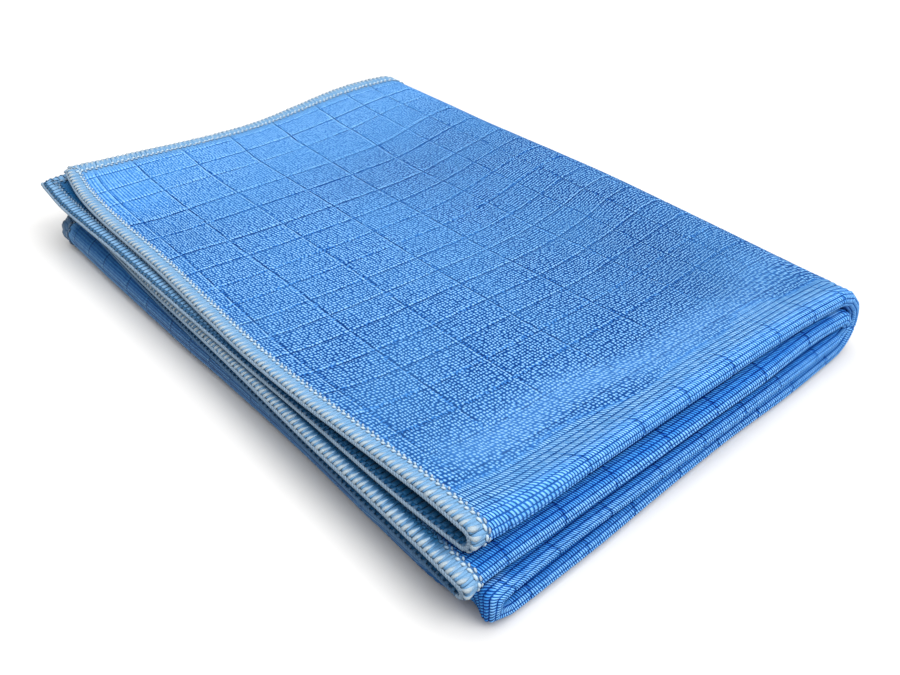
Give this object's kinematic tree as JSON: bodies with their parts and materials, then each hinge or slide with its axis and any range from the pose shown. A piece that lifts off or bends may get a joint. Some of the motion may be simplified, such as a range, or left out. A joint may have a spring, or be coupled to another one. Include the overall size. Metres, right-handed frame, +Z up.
{
  "type": "microfibre cloth",
  "caption": "Microfibre cleaning cloth in a check knit with an overlocked hem, folded small and lying flat, for wiping and drying.",
  "frame": {"origin": "middle of the folded cloth's bounding box, on the surface it lies on", "axes": "+X from the layered hems to the round wrap of the fold, +Y from the front folds to the open back hems, along the longest side, +Z up through the layers"},
  "size_m": [0.107, 0.1524, 0.0168],
  "materials": {
    "microfibre": "matte check knit of polyester and polyamide"
  },
  "bodies": {
    "root": {"cloth": "microfibre"}
  },
  "joints": []
}
